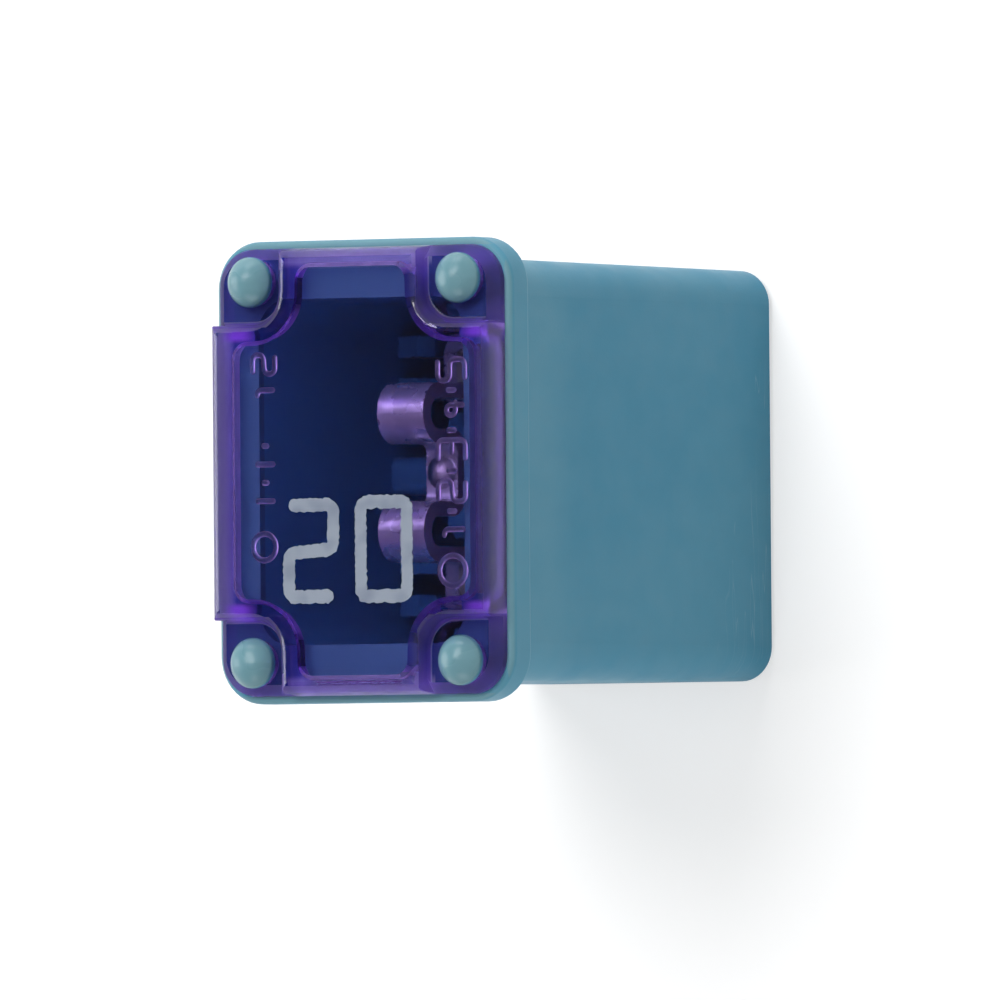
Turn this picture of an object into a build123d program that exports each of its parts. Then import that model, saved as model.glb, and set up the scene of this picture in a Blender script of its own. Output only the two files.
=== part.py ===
"""Micro female cartridge fuse: moulded housing, staked clear cover, folded element, tin pellet, two clips.

The fuse stands on its blade end with the cover up. X runs across its narrow side, Y along its
wide side from one terminal to the other, and Z is the plug-in axis, with z = 0 on the blade face.
All sizes are in millimetres.
"""
from build123d import *
from math import radians, tan
import os

# Envelope
overall_height = 15.4  # from the blade face to the crowns of the staked posts
flange_width = 9.0  # across X
flange_length = 12.1  # along Y
flange_thickness = 0.95
flange_corner = 1.25
flange_edge = 0.16  # rounding of the flange's rims

# Housing body under the flange
body_inset = 0.53  # from the flange's edge to the body's wall
body_corner = 1.0
body_draft = 0.35  # degrees
body_foot_edge = 0.18  # bevel round the blade face
side_wall = 0.85  # wall across X
end_wall = 1.0  # wall along Y
floor_thickness = 1.2
chamber_corner = 0.9
partition_thickness = 1.0
partition_height = 6.6  # above the floor
partition_root = 0.2  # how far inside each side wall it ends
partition_edge = 0.3  # rounding along its top

# Guide ribs that hold each terminal in its chamber
rib_thickness = 0.55
rib_height = 6.2
rib_lead = 0.35  # slope at the top of each rib
rib_lead_share = 0.8  # the most of a rib's reach that its slope takes
rib_root = 0.2  # how far inside its wall each rib starts
rib_clearance = 0.06
rib_back_place = 0.35  # from the contact plate's back to the middle of the nearer side ribs
rib_front_place = 0.55  # from the clip's front to the middle of the farther side ribs

# Blade slots
blade_width = 2.8  # along X
blade_thickness = 0.8  # along Y
blade_pitch = 5.5
slot_clearance = 0.2  # all round the blade
slot_lead = 0.35  # funnel at the mouth

# Cover
cover_rise = 0.88  # window's top face above the flange
cover_margin = 0.2  # from the flange's edge to the cover's foot
cover_corner = 1.0
cover_draft = 6.5  # degrees
cover_side_wall = 0.6  # at the foot, across X
cover_end_wall = 0.4  # at the foot, along Y
lobe_wall = 0.42  # walls beside the staking pads
window_thickness = 0.4
pad_rise = 0.45  # staking pads above the flange
lobe_width = 4.36  # end lobes, across X
lobe_length = 7.7  # side lobes, along Y
lobe_foot = 0.12  # hollow rounding between a lobe's wall and the pad
pad_corner = 0.85  # inner corner of each staking pad
cover_top_edge = 0.3
pad_edge = 0.28  # bevel along the outer rims of the pads
hollow_corner = 0.5  # outer corners of the hollow's lobes
hollow_edge = 0.12  # bevel under the window

# Staked posts
crown_rise = 0.95  # crowns above the flange
post_diameter = 1.15
post_hole_clearance = 0.03  # on the radius
post_pitch_x = 6.34
post_pitch_y = 9.95
stake_diameter = 1.32
stake_lip = 0.08  # height of the head's upright edge
post_root = 0.3  # how far down in the flange each post starts

# Fuse element, folded from strip
strip_thickness = 0.4
terminal_gap = 0.1  # between a blade's edge and the side of its receptacle
terminal_length = 5.9
bend_radius = 0.3  # along the middle of the strip
curl_radius = 0.33  # along the middle of the strip
curl_leg = 0.1  # straight edge under each curl
curl_preload = 0.06  # how far the free edges stand into the blade's space
neck_width = 1.4
neck_slope_height = 0.9
arch_radius = 0.6  # along the middle of the strip
arch_clearance = 1.95  # from the flange's top face down to the arches
dip_half_width = 0.95  # from the centre to the middle of the dip's leg
dip_depth = 2.1  # from the arch's top to the dip's bottom, along the middle of the strip
dip_bend = 0.42
link_width = 0.95
link_slope_height = 0.35  # where the legs of the dip narrow to the link

# Tin pellet, riveted through the link
pellet_shank = 0.45
pellet_head = 0.86
pellet_head_height = 0.24
pellet_lip = 0.05  # height of each head's upright edge
pellet_fit = 0.01  # on the radius, between shank and hole

# Spring clips
clip_thickness = 0.22
clip_height = 3.2
clip_foot = 1.1  # from the floor to the clip's lower edge
clip_fit = 0.02  # between the clip and the receptacle
clip_lip = 0.55  # straight part of each lip over the rolled side
clip_finger_gap = 0.4  # slit that parts each side into two fingers

tiny = 0.001  # closer than this counts as the same place
overshoot = 0.1  # how far a cutting shape passes what it cuts
arc_share = 0.98  # the most of its room that an arc takes

rim_level = overall_height - crown_rise
window_level = rim_level + cover_rise
pad_level = rim_level + pad_rise
stake_height = crown_rise - pad_rise
body_width = flange_width - 2 * body_inset
body_length = flange_length - 2 * body_inset
body_height = rim_level - flange_thickness
chamber_width = body_width - 2 * side_wall
chamber_length = body_length - 2 * end_wall
blade_y = blade_pitch / 2
cover_width = flange_width - 2 * cover_margin  # at the foot
cover_length = flange_length - 2 * cover_margin


def rounded_block(width, length, corner, bottom, height, taper=0.0):
    """A rounded rectangle raised from the level bottom, its walls leaning in by taper degrees."""
    outline = Pos(0, 0, bottom) * RectangleRounded(width, length, corner)
    return extrude(outline, amount=height, taper=taper)


# ---------------------------------------------------------------- housing

def housing_outside():
    """Flange and tapered body."""
    flange = rounded_block(flange_width, flange_length, flange_corner, body_height, flange_thickness)
    flange = fillet(flange.edges().group_by(Axis.Z)[0] + flange.edges().group_by(Axis.Z)[-1], flange_edge)
    downwards = Plane(origin=(0, 0, body_height), x_dir=(1, 0, 0), z_dir=(0, 0, -1))
    body = extrude(
        downwards * RectangleRounded(body_width, body_length, body_corner),
        amount=body_height,
        taper=body_draft,
    )
    body = chamfer(body.edges().group_by(Axis.Z)[0], body_foot_edge)
    return flange + body


def chamber():
    """The room for the element, open at the flange."""
    return rounded_block(
        chamber_width, chamber_length, chamber_corner, floor_thickness, rim_level - floor_thickness
    )


def blade_slot(side):
    """One blade's slot through the floor, with its funnel."""
    slot_x = blade_width + 2 * slot_clearance
    slot_y = blade_thickness + 2 * slot_clearance
    middle = Pos(0, side * blade_y, 0)
    through = middle * Pos(0, 0, floor_thickness / 2) * Box(slot_x, slot_y, floor_thickness)
    funnel = extrude(
        middle * Rectangle(slot_x + 2 * slot_lead, slot_y + 2 * slot_lead), amount=slot_lead, taper=45
    )
    return through + funnel


def guide_rib(reach, width):
    """A rib with its root at x = 0 and its tip at x = reach, sloped off at the top."""
    profile = Plane.XZ * Polygon(
        (0, 0),
        (reach, 0),
        (reach, rib_height - rib_lead),
        (reach - min(rib_lead, rib_lead_share * reach), rib_height),
        (0, rib_height),
        align=None,
    )
    return Pos(0, 0, floor_thickness) * extrude(profile, amount=width / 2, both=True)


def guide_ribs(side):
    """The ribs round one terminal: two on each side wall, two on the partition, two on the end wall."""
    ribs = []
    side_reach = chamber_width / 2 - clip_outer_x() - rib_clearance
    for across in (1, -1):
        turn = 180 if across > 0 else 0
        for along in (terminal_back_y() + rib_back_place, clip_front_y() - rib_front_place):
            place = Pos(across * (chamber_width / 2 + rib_root), side * along, 0) * Rot(0, 0, turn)
            ribs.append(place * guide_rib(side_reach + rib_root, rib_thickness))
    spread = terminal_half_width() - rib_thickness
    back_reach = clip_back_y() - rib_clearance - partition_thickness / 2
    front_reach = chamber_length / 2 - clip_front_y() - rib_clearance
    for across in (1, -1):
        back = Pos(across * spread, side * (partition_thickness / 2 - rib_root), 0) * Rot(0, 0, 90 * side)
        ribs.append(back * guide_rib(back_reach + rib_root, rib_thickness))
        front = Pos(across * spread, side * (chamber_length / 2 + rib_root), 0) * Rot(0, 0, -90 * side)
        ribs.append(front * guide_rib(front_reach + rib_root, rib_thickness))
    return ribs


def partition():
    """The wall between the two terminals, rounded along its top."""
    wall = Pos(0, 0, floor_thickness + partition_height / 2) * Box(
        chamber_width + 2 * partition_root, partition_thickness, partition_height
    )
    return fillet(wall.edges().filter_by(Axis.X).group_by(Axis.Z)[-1], partition_edge)


def domed_head(radius, lip, height):
    """A domed head on z = 0: a short upright lip under a spherical crown."""
    crown = height - lip
    sphere = (radius**2 + crown**2) / (2 * crown)
    head = Cylinder(radius, height, align=(Align.CENTER, Align.CENTER, Align.MIN))
    return head & Pos(0, 0, height - sphere) * Sphere(sphere)


def staked_post(x, y):
    """A post with its head formed over the cover."""
    shank = Cylinder(
        post_diameter / 2, post_root + pad_rise, align=(Align.CENTER, Align.CENTER, Align.MIN)
    )
    head = domed_head(stake_diameter / 2, stake_lip, stake_height)
    return Pos(x, y, rim_level) * (Pos(0, 0, -post_root) * shank + Pos(0, 0, pad_rise) * head)


def post_places():
    """Centres of the four posts."""
    return [(sx * post_pitch_x / 2, sy * post_pitch_y / 2) for sx in (1, -1) for sy in (1, -1)]


def make_housing():
    solid = housing_outside() - chamber()
    solid += partition()
    for side in (1, -1):
        for rib in guide_ribs(side):
            solid += rib
        solid -= blade_slot(side)
    for x, y in post_places():
        solid += staked_post(x, y)
    return solid


# ---------------------------------------------------------------- cover

def crossing_bars(narrow, short, corner, reach_x, reach_y):
    """Two crossed bars seen from above, one narrow across X, one short along Y, corners rounded."""
    bars = Rectangle(2 * reach_x, short) + Rectangle(narrow, 2 * reach_y)
    inner = [
        vertex
        for vertex in bars.vertices()
        if abs(abs(vertex.X) - narrow / 2) < tiny and abs(abs(vertex.Y) - short / 2) < tiny
    ]
    return fillet(inner, corner)


def flat_edges(solid, level, reach_x, reach_y):
    """Edges that lie flat at a level, no farther out than the two reaches."""
    return [
        edge
        for edge in solid.edges()
        if edge.bounding_box().size.Z < tiny
        and abs(edge.center().Z - level) < tiny
        and abs(edge.center().X) < reach_x
        and abs(edge.center().Y) < reach_y
    ]


def raised_cross():
    """Crossed bars on a slab, both wider than the cover, rounded at the top and at the foot."""
    reach_x, reach_y = cover_width, cover_length
    slab = Pos(0, 0, rim_level + pad_rise / 2) * Box(2 * reach_x, 2 * reach_y, pad_rise)
    outline = crossing_bars(lobe_width, lobe_length, pad_corner, reach_x, reach_y)
    solid = slab + extrude(Pos(0, 0, rim_level) * outline, amount=cover_rise)
    solid = fillet(flat_edges(solid, pad_level, reach_x - tiny, reach_y - tiny), lobe_foot)
    return fillet(flat_edges(solid, window_level, reach_x - tiny, reach_y - tiny), cover_top_edge)


def bevel_limit():
    """What a bevel round the pads leaves: a plate, a hip roof on it and the bars standing through."""
    start = pad_rise - pad_edge
    lean = start * tan(radians(cover_draft))
    plate = rounded_block(cover_width, cover_length, cover_corner, rim_level, start, cover_draft)
    hip = rounded_block(
        cover_width - 2 * lean,
        cover_length - 2 * lean,
        cover_corner - lean,
        rim_level + start,
        pad_edge + 2 * lobe_foot,
        45,
    )
    bars = crossing_bars(lobe_width, lobe_length, pad_corner, cover_width, cover_length)
    return plate + hip + extrude(Pos(0, 0, rim_level) * bars, amount=cover_rise)


def cover_outside():
    """The foot plate and the cross in one, cut to the cover's leaning outer walls."""
    block = rounded_block(
        cover_width, cover_length, cover_corner, rim_level, cover_rise, cover_draft
    )
    block = fillet(block.edges().group_by(Axis.Z)[-1], cover_top_edge)
    return block & raised_cross() & bevel_limit()


def cover_hollow():
    """The space under the window."""
    half_x = cover_width / 2 - cover_side_wall
    half_y = cover_length / 2 - cover_end_wall
    outline = crossing_bars(
        lobe_width - 2 * lobe_wall, lobe_length - 2 * lobe_wall, pad_corner + lobe_wall, half_x, half_y
    )
    ends = [
        vertex
        for vertex in outline.vertices()
        if abs(abs(vertex.X) - half_x) < tiny or abs(abs(vertex.Y) - half_y) < tiny
    ]
    outline = Pos(0, 0, rim_level) * fillet(ends, hollow_corner)
    hollow = extrude(outline, amount=cover_rise - window_thickness)
    return chamfer(hollow.edges().group_by(Axis.Z)[-1], hollow_edge)


def make_cover():
    solid = cover_outside() - cover_hollow()
    hole = post_diameter / 2 + post_hole_clearance
    for x, y in post_places():
        solid -= Pos(x, y, rim_level) * Cylinder(
            hole, pad_rise, align=(Align.CENTER, Align.CENTER, Align.MIN)
        )
    return solid


# ---------------------------------------------------------------- fuse element

def terminal_back_y():
    """Back face of a terminal's contact plate, towards the partition."""
    return blade_y - blade_thickness / 2 - strip_thickness


def terminal_half_width():
    """Outer half width of a receptacle."""
    return blade_width / 2 + terminal_gap + strip_thickness


def curl_tip_y():
    """Free edge of a rolled side, just inside the blade's space."""
    return blade_y + blade_thickness / 2 - curl_preload


def curl_crest_y():
    """Outermost Y of a receptacle's rolled sides."""
    return curl_tip_y() + curl_leg + curl_radius + strip_thickness / 2


def clip_outer_x():
    """Outer half width of a spring clip."""
    return terminal_half_width() + clip_fit + clip_thickness


def clip_front_y():
    """Front face of a spring clip's lips."""
    return curl_crest_y() + clip_fit + clip_thickness


def clip_back_y():
    """Back face of a spring clip, towards the partition."""
    return terminal_back_y() - clip_fit - clip_thickness


def sheet(points, radii, thickness):
    """Section of a sheet of even thickness along an open line with rounded corners."""
    return trace(FilletPolyline(*points, radius=radii), line_width=thickness)


def receptacle():
    """Contact plate with both sides rolled over the blade, for the terminal on the +Y side."""
    middle = terminal_back_y() + strip_thickness / 2
    side = terminal_half_width() - strip_thickness / 2
    crest = curl_crest_y() - strip_thickness / 2
    tip = side - 2 * curl_radius
    half = [(tip, curl_tip_y()), (tip, crest), (side, crest), (side, middle)]
    points = half + [(-x, y) for x, y in reversed(half)]
    curl = arc_share * curl_radius
    section = sheet(points, [curl, curl, bend_radius, bend_radius, curl, curl], strip_thickness)
    return extrude(Pos(0, 0, floor_thickness) * section, amount=terminal_length)


def arch_top():
    """Level of the middle of the strip at the top of the arches."""
    return rim_level - arch_clearance - strip_thickness / 2


def folded_strip():
    """The strip as wide as a contact plate, up from one plate, over both arches and down to the other."""
    leg = terminal_back_y() + strip_thickness / 2
    top = arch_top()
    half = [
        (leg, floor_thickness + terminal_length),
        (leg, top),
        (dip_half_width, top),
        (dip_half_width, top - dip_depth),
    ]
    points = half + [(-y, z) for y, z in reversed(half)]
    arch = min(arch_radius, arc_share * (leg - dip_half_width) / 2)
    side_view = Plane(origin=(0, 0, 0), x_dir=(0, 1, 0), z_dir=(1, 0, 0))
    section = side_view * sheet(points, [arch, arch, dip_bend, dip_bend, arch, arch], strip_thickness)
    return extrude(section, amount=terminal_half_width(), both=True)


def shear(width_below, width_above, slope_bottom, slope_height, bottom, top, reach):
    """What is left of the strip between two sheared edges: one width below a slope, another above it."""
    below, above = width_below / 2, width_above / 2
    half = [(below, bottom), (below, slope_bottom), (above, slope_bottom + slope_height), (above, top)]
    outline = half + [(-x, z) for x, z in reversed(half)]
    return extrude(Plane.XZ * Polygon(*outline, align=None), amount=reach, both=True)


def make_fuse_element():
    shoulder = floor_thickness + terminal_length
    reach = terminal_back_y() + strip_thickness + overshoot
    plate_width = 2 * terminal_half_width()
    strip = folded_strip() & shear(
        plate_width, neck_width, shoulder, neck_slope_height, shoulder - overshoot, rim_level, reach
    )
    dip_reach = (dip_half_width + terminal_back_y() + strip_thickness) / 2
    narrow_top = arch_top() - arch_radius
    dip_zone = Pos(0, 0, narrow_top - dip_depth) * Box(
        plate_width, 2 * dip_reach, 2 * dip_depth, align=(Align.CENTER, Align.CENTER, Align.CENTER)
    )
    link = shear(
        link_width, neck_width, narrow_top - link_slope_height, link_slope_height,
        shoulder, rim_level, dip_reach,
    )
    strip -= dip_zone - link
    strip -= Pos(0, 0, arch_top() - dip_depth) * Cylinder(
        pellet_shank / 2 + pellet_fit, 2 * strip_thickness
    )
    terminal = receptacle()
    return strip + terminal + Rot(0, 0, 180) * terminal


def make_tin_pellet():
    """A rivet of tin through the bottom of the dip, headed on both faces."""
    upper = Pos(0, 0, strip_thickness / 2) * domed_head(pellet_head / 2, pellet_lip, pellet_head_height)
    pellet = Cylinder(pellet_shank / 2, strip_thickness) + upper + mirror(upper, about=Plane.XY)
    return Pos(0, 0, arch_top() - dip_depth) * pellet


def make_spring_clip(side):
    """A stainless C-clip round one receptacle, its sides slit into fingers."""
    half_t = clip_thickness / 2
    back, front, flank = clip_back_y() + half_t, clip_front_y() - half_t, clip_outer_x() - half_t
    growth = strip_thickness / 2 + clip_fit + half_t
    curl, bend = curl_radius + growth, bend_radius + growth
    tip = flank - curl - clip_lip
    half = [(tip, front), (flank, front), (flank, back)]
    points = half + [(-x, y) for x, y in reversed(half)]
    section = sheet(points, [curl, bend, bend, curl], clip_thickness)
    foot = floor_thickness + clip_foot
    clip = extrude(Pos(0, 0, foot) * section, amount=clip_height)
    slit_back = back + bend
    slit = Pos(0, slit_back, foot + clip_height / 2) * Box(
        2 * (clip_outer_x() + overshoot),
        2 * (front - back),
        clip_finger_gap,
        align=(Align.CENTER, Align.MIN, Align.CENTER),
    )
    clip -= slit
    return clip if side > 0 else Rot(0, 0, 180) * clip


PARTS = {
    "housing": make_housing,
    "cover": make_cover,
    "fuse_element": make_fuse_element,
    "tin_pellet": make_tin_pellet,
    "right_spring_clip": lambda: make_spring_clip(1),
    "left_spring_clip": lambda: make_spring_clip(-1),
}

os.makedirs("parts", exist_ok=True)
for name, make in PARTS.items():
    shape = make()
    solids = shape.solids()
    print(f"{name}: {len(solids)} solid(s), {sum(s.volume for s in solids):.2f} mm3")
    export_step(solids[0] if len(solids) == 1 else Compound(children=list(solids)), f"parts/{name}.step")
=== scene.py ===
import logging
import math
from dataclasses import dataclass
from enum import Enum
from functools import cache, reduce

import bmesh
import bpy
from mathutils import Matrix, Vector


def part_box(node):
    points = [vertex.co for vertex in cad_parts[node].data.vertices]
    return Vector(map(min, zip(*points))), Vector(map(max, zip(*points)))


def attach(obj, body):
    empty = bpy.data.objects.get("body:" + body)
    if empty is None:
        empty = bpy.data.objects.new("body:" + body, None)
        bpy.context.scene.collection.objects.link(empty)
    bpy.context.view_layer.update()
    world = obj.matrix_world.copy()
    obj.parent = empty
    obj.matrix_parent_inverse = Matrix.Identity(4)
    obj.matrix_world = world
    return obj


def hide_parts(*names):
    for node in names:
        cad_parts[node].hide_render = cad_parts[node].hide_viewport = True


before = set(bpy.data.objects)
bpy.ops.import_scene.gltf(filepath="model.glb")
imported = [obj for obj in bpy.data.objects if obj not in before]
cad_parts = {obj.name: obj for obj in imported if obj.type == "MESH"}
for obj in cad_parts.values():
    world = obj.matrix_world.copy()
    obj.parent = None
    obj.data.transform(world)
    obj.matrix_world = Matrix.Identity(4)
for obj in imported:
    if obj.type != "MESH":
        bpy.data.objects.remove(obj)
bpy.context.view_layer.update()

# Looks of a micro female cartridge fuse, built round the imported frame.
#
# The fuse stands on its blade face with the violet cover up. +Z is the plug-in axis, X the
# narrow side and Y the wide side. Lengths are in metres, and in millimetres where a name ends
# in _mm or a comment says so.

LOG = logging.getLogger("fuse")
MM = 0.001
MOST_NOISE = (0.3, 0.7)  # nearly all of a smooth noise lies between these
WHITE = (1.0, 1.0, 1.0, 1.0)

Colour = tuple[float, float, float, float]
Limits = tuple[float, float]
Triple = tuple[float, float, float]
Socket = bpy.types.NodeSocket


class Tree:
    """A short way to add and join the nodes of one node tree."""

    def __init__(self, tree: bpy.types.NodeTree) -> None:
        """Keep the tree."""
        self.tree = tree

    def add(self, kind: str, **settings: object) -> bpy.types.Node:
        """Add a node.

        Args:
            kind: The node's type name.
            **settings: Attributes of the node, by name.

        Returns:
            The new node.
        """
        node = self.tree.nodes.new(kind)
        for name, value in settings.items():
            setattr(node, name, value)
        return node

    def put(self, socket: Socket, value: object) -> None:
        """Link an output to an input, or set the input's plain value.

        Args:
            socket: The input.
            value: An output socket or a plain value.
        """
        if isinstance(value, Socket):
            self.tree.links.new(value, socket)
        else:
            socket.default_value = value

    def feed(self, node: bpy.types.Node, **values: object) -> bpy.types.Node:
        """Give a node its inputs; an underscore in a name stands for a space.

        Args:
            node: The node that takes the values.
            **values: Plain values or output sockets, by input name.

        Returns:
            The same node.
        """
        for name, value in values.items():
            self.put(node.inputs[name.replace("_", " ")], value)
        return node

    def math(self, operation: str, first: object, second: object = 0.0) -> Socket:
        """Join two values by a Math node.

        Args:
            operation: The node's operation.
            first: The first value or output.
            second: The second value or output.

        Returns:
            The result.
        """
        node = self.add("ShaderNodeMath", operation=operation)
        self.put(node.inputs[0], first)
        self.put(node.inputs[1], second)
        return node.outputs[0]

    def chain(self, operation: str, *values: object) -> Socket:
        """Join values by Math nodes, one after another."""
        return reduce(lambda first, second: self.math(operation, first, second), values)

    def times(self, *values: object) -> Socket:
        """Multiply values."""
        return self.chain("MULTIPLY", *values)

    def most(self, *values: object) -> Socket:
        """Give the largest of some values."""
        return self.chain("MAXIMUM", *values)

    def less(self, first: object, second: object) -> Socket:
        """Take the second value from the first."""
        return self.math("SUBTRACT", first, second)

    def above(self, value: object, limit: object) -> Socket:
        """Give 1 where a value is above a limit."""
        return self.math("GREATER_THAN", value, limit)

    def below(self, value: object, limit: object) -> Socket:
        """Give 1 where a value is below a limit."""
        return self.math("LESS_THAN", value, limit)

    def size(self, value: object) -> Socket:
        """Give a value without its sign."""
        return self.math("ABSOLUTE", value)

    def span(self, value: Socket, limits: Limits, start: float = 0.0, end: float = 1.0) -> Socket:
        """Carry a value smoothly from one range to another.

        Args:
            value: The value to carry over.
            limits: Where the first range starts and ends.
            start: The result where it starts.
            end: The result where it ends.

        Returns:
            The result, held between start and end.
        """
        node = self.add("ShaderNodeMapRange", interpolation_type="SMOOTHSTEP")
        low, high = limits
        self.feed(node, Value=value, From_Min=low, From_Max=high, To_Min=start, To_Max=end)
        return node.outputs["Result"]

    def mix(self, share: object, start: float, end: float) -> Socket:
        """Go from one value to another as a share goes from 0 to 1."""
        return self.span(share, (0.0, 1.0), start, end)

    def blend(self, share: object, first: object, second: object) -> Socket:
        """Mix two colours.

        Args:
            share: How much of the second colour shows.
            first: The first colour or output.
            second: The second colour or output.

        Returns:
            The mixed colour.
        """
        node = self.add("ShaderNodeMix", data_type="RGBA")
        for number, value in ((0, share), (6, first), (7, second)):  # its sockets for colours
            self.put(node.inputs[number], value)
        return node.outputs[2]

    def noise(self, place: Socket, scale: object, detail: float = 2.0) -> Socket:
        """Give smooth noise from 0 to 1, with scale features to the metre."""
        node = self.add("ShaderNodeTexNoise")
        return self.feed(node, Vector=place, Scale=scale, Detail=detail).outputs[0]

    def stretch(self, place: Socket, scale: Triple) -> Socket:
        """Scale a place along each axis."""
        return self.feed(self.add("ShaderNodeMapping"), Vector=place, Scale=scale).outputs[0]

    def axes(self, place: Socket) -> tuple[Socket, Socket, Socket]:
        """Give the X, Y and Z of a vector."""
        node = self.feed(self.add("ShaderNodeSeparateXYZ"), Vector=place)
        return node.outputs["X"], node.outputs["Y"], node.outputs["Z"]


class Effect(Tree):
    """A shader node group that several materials share."""

    def __init__(self, name: str, inputs: dict[str, float], outputs: tuple[str, ...]) -> None:
        """Open the group.

        Args:
            name: The group's name.
            inputs: Value inputs and their defaults, after the input Place.
            outputs: Names of the value outputs.
        """
        group = bpy.data.node_groups.new(name, "ShaderNodeTree")
        sockets = group.interface
        sockets.new_socket("Place", in_out="INPUT", socket_type="NodeSocketVector")
        for label, value in inputs.items():
            socket = sockets.new_socket(label, in_out="INPUT", socket_type="NodeSocketFloat")
            socket.default_value = value
        for label in outputs:
            sockets.new_socket(label, in_out="OUTPUT", socket_type="NodeSocketFloat")
        super().__init__(group)
        self.given = self.add("NodeGroupInput").outputs
        self.place = self.given["Place"]
        self.result = self.add("NodeGroupOutput")

    def coarser(self, label: str, times: float) -> Socket:
        """Give a closeness input divided by a number, for a coarser pattern."""
        return self.math("DIVIDE", self.given[label], times)


@cache
def mould_grain() -> bpy.types.NodeTree:
    """Build the skin of a moulded surface: soft ripple with fine grain on it.

    Returns:
        A group that puts out Height and Tone, both from 0 to 1.
    """
    ripple_length = 14.0  # of a ripple, in grains
    effect = Effect("mould_grain", {"Fineness": 9000.0, "Ripple": 0.4}, ("Height", "Tone"))
    fine = effect.noise(effect.place, effect.given["Fineness"], detail=3.0)
    coarse = effect.noise(effect.place, effect.coarser("Fineness", ripple_length), detail=1.0)
    swell = effect.times(coarse, effect.given["Ripple"])
    effect.feed(effect.result, Height=effect.math("ADD", fine, swell), Tone=coarse)
    return effect.tree


@cache
def specks() -> bpy.types.NodeTree:
    """Build scattered specks, such as dust and tiny inclusions.

    Returns:
        A group that puts out Mask, 1 on a speck.
    """
    effect = Effect("specks", {"Closeness": 900.0, "Size": 0.05, "Share": 0.1}, ("Mask",))
    cells = effect.add("ShaderNodeTexVoronoi", voronoi_dimensions="3D")
    effect.feed(cells, Vector=effect.place, Scale=effect.given["Closeness"])
    near = effect.below(cells.outputs["Distance"], effect.given["Size"])
    draw = effect.feed(effect.add("ShaderNodeSeparateColor"), Color=cells.outputs["Color"])
    chosen = effect.below(draw.outputs["Red"], effect.given["Share"])
    effect.feed(effect.result, Mask=effect.times(near, chosen))
    return effect.tree


@cache
def scuffs() -> bpy.types.NodeTree:
    """Build fine handling scratches that run level and break off irregularly.

    Returns:
        A group that puts out Mask, 1 in a scratch.
    """
    level = (0.08, 0.08, 1.0)  # drawn out along X and Y
    thinness = (0.0, 0.006)
    patch = 5.0  # of scratches, against the distance between them
    none, less_by_amount = 0.75, 0.3  # the patches' noise above which scratches show
    effect = Effect("scuffs", {"Closeness": 1400.0, "Amount": 0.5}, ("Mask",))
    lines = effect.stretch(effect.place, level)
    fine = effect.noise(lines, effect.given["Closeness"])
    thin = effect.span(effect.size(effect.less(fine, 0.5)), thinness, 1.0, 0.0)
    where = effect.noise(effect.place, effect.coarser("Closeness", patch), detail=1.0)
    limit = effect.less(none, effect.times(effect.given["Amount"], less_by_amount))
    effect.feed(effect.result, Mask=effect.times(thin, effect.above(where, limit)))
    return effect.tree


@cache
def rolling_lines() -> bpy.types.NodeTree:
    """Build the lines that rolling leaves on strip metal.

    Returns:
        A group that puts out Height and Tone, both from 0 to 1.
    """
    along_strip = (1.0, 0.04, 0.04)  # drawn out along Y and Z
    blotch = 20.0  # its size, in lines
    effect = Effect("rolling_lines", {"Closeness": 30000.0}, ("Height", "Tone"))
    lines = effect.stretch(effect.place, along_strip)
    fine = effect.noise(lines, effect.given["Closeness"], detail=3.0)
    wide = effect.noise(effect.place, effect.coarser("Closeness", blotch))
    effect.feed(effect.result, Height=fine, Tone=wide)
    return effect.tree


class Material(Tree):
    """A material with one Principled shader, ready for its pattern nodes."""

    def __init__(self, name: str) -> None:
        """Make the material.

        Args:
            name: Its name.
        """
        self.material = bpy.data.materials.new(name)
        self.material.use_nodes = True
        super().__init__(self.material.node_tree)
        self.shader = self.tree.nodes["Principled BSDF"]
        self.output = self.tree.nodes["Material Output"]
        self.place = self.add("ShaderNodeTexCoord").outputs["Object"]

    def use(self, group: bpy.types.NodeTree, **values: object) -> bpy.types.NodeOutputs:
        """Place a shared effect.

        Args:
            group: The effect's group.
            **values: The effect's inputs in this material.

        Returns:
            The effect's outputs.
        """
        node = self.add("ShaderNodeGroup", node_tree=group)
        return self.feed(node, Place=self.place, **values).outputs

    def facing(self) -> tuple[Socket, Socket, Socket]:
        """Give the X, Y and Z of the way that the surface faces."""
        return self.axes(self.add("ShaderNodeNewGeometry").outputs["Normal"])

    def rise(
        self, place: Socket, limits_mm: Limits, start: float = 0.0, end: float = 1.0
    ) -> Socket:
        """Go smoothly from start to end between two places, given in millimetres."""
        return self.span(place, tuple(limit * MM for limit in limits_mm), start, end)

    def beyond(self, along: Socket, edge_mm: float) -> Socket:
        """Give 1 where a place is farther out than an edge, on either side."""
        return self.above(self.size(along), edge_mm * MM)

    def within(self, along: Socket, edge_mm: float) -> Socket:
        """Give 1 where a place is nearer the middle than an edge, on either side."""
        return self.below(self.size(along), edge_mm * MM)

    def bump(self, height: Socket, depth_mm: float, before: Socket | None = None) -> Socket:
        """Raise the surface by a height map.

        Args:
            height: The height from 0 to 1.
            depth_mm: What 1 stands for.
            before: A bumped normal to add to.

        Returns:
            The new normal.
        """
        node = self.feed(self.add("ShaderNodeBump"), Height=height, Distance=depth_mm * MM)
        if before is not None:
            self.put(node.inputs["Normal"], before)
        return node.outputs["Normal"]


@dataclass(frozen=True)
class Grain:
    """A moulded or cast skin: how fine it is, how strongly it ripples and how deep it is."""

    fineness: float
    ripple: float
    depth_mm: float

    def lay(self, paint: Material) -> tuple[Socket, Socket]:
        """Put the skin on a material, and give its normal and a slow tone from 0 to 1."""
        skin = paint.use(mould_grain(), Fineness=self.fineness, Ripple=self.ripple)
        return paint.bump(skin["Height"], self.depth_mm), skin["Tone"]


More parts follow.
